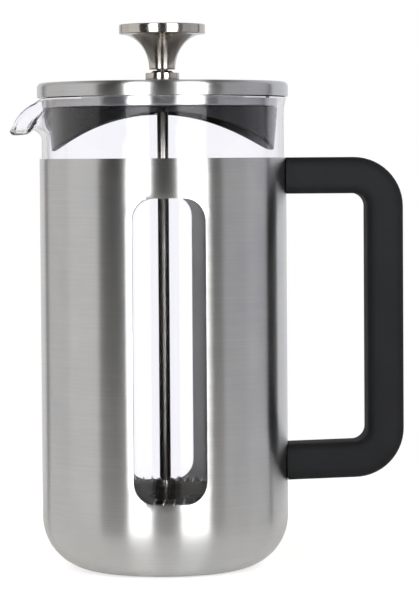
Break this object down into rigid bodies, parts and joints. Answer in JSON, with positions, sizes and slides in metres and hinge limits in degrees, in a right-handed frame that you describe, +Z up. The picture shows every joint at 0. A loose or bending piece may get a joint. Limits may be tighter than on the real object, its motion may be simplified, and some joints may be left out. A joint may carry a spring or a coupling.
{
  "type": "french press",
  "caption": "Plunger coffee maker: glass beaker with a spout in a windowed steel sleeve, D-handle, steel lid and rod with a round filter.",
  "frame": {"origin": "centre of the sleeve's flat base, on the axis of the sleeve, beaker, lid and plunger", "axes": "+Z up along the common axis; +X towards the handle, -X towards the spout; the windows face -Y and +Y"},
  "size_m": [0.1624, 0.1036, 0.2252],
  "materials": {
    "sleeve_steel": "brushed round the axis",
    "fitting_steel": "polished stainless steel",
    "filter_steel": "bright rolled sheet, wire and woven mesh",
    "beaker_glass": "clear borosilicate",
    "handle_plastic": "soft-touch matte black",
    "skirt_plastic": "moulded, satin",
    "pad_rubber": "matte silicone",
    "bush_plastic": "natural nylon"
  },
  "bodies": {
    "sleeve": {"steel_sleeve": "sleeve_steel", "base_cushion": "pad_rubber", "handle": "handle_plastic", "handle_stud_upper": "fitting_steel", "handle_stud_lower": "fitting_steel", "handle_screw_upper": "fitting_steel", "handle_screw_lower": "fitting_steel"},
    "beaker": {"glass_beaker": "beaker_glass"},
    "lid": {"lid_cap": "sleeve_steel", "guide_collar": "fitting_steel", "guide_bush": "bush_plastic", "guide_washer": "fitting_steel", "guide_nut": "fitting_steel"},
    "liner": {"lid_liner": "sleeve_steel", "lid_skirt": "skirt_plastic", "skirt_screw_1": "fitting_steel", "skirt_screw_2": "fitting_steel", "skirt_screw_3": "fitting_steel"},
    "plunger": {"plunger_rod": "fitting_steel", "knob": "fitting_steel"},
    "filter": {"filter_hub": "fitting_steel", "spring_plate": "filter_steel", "rim_coil": "filter_steel", "filter_mesh": "filter_steel", "cross_plate": "filter_steel", "lock_nut": "fitting_steel"}
  },
  "joints": [
    {"name": "beaker_lift", "type": "slide", "parent": "sleeve", "child": "beaker", "axis": [0, 0, 1], "range_m": [0, 0.18]},
    {"name": "lid_lift", "type": "slide", "parent": "beaker", "child": "lid", "axis": [0, 0, 1], "range_m": [0, 0.18]},
    {"name": "lid_turn", "type": "hinge", "parent": "lid", "child": "liner", "pos_m": [0, 0, 0.195], "axis": [0, 0, 1], "continuous": true},
    {"name": "plunger_slide", "type": "slide", "parent": "lid", "child": "plunger", "axis": [0, 0, 1], "range_m": [0, 0.135]},
    {"name": "filter_turn", "type": "hinge", "parent": "plunger", "child": "filter", "pos_m": [0, 0, 0.03], "axis": [0, 0, 1], "continuous": true}
  ]
}
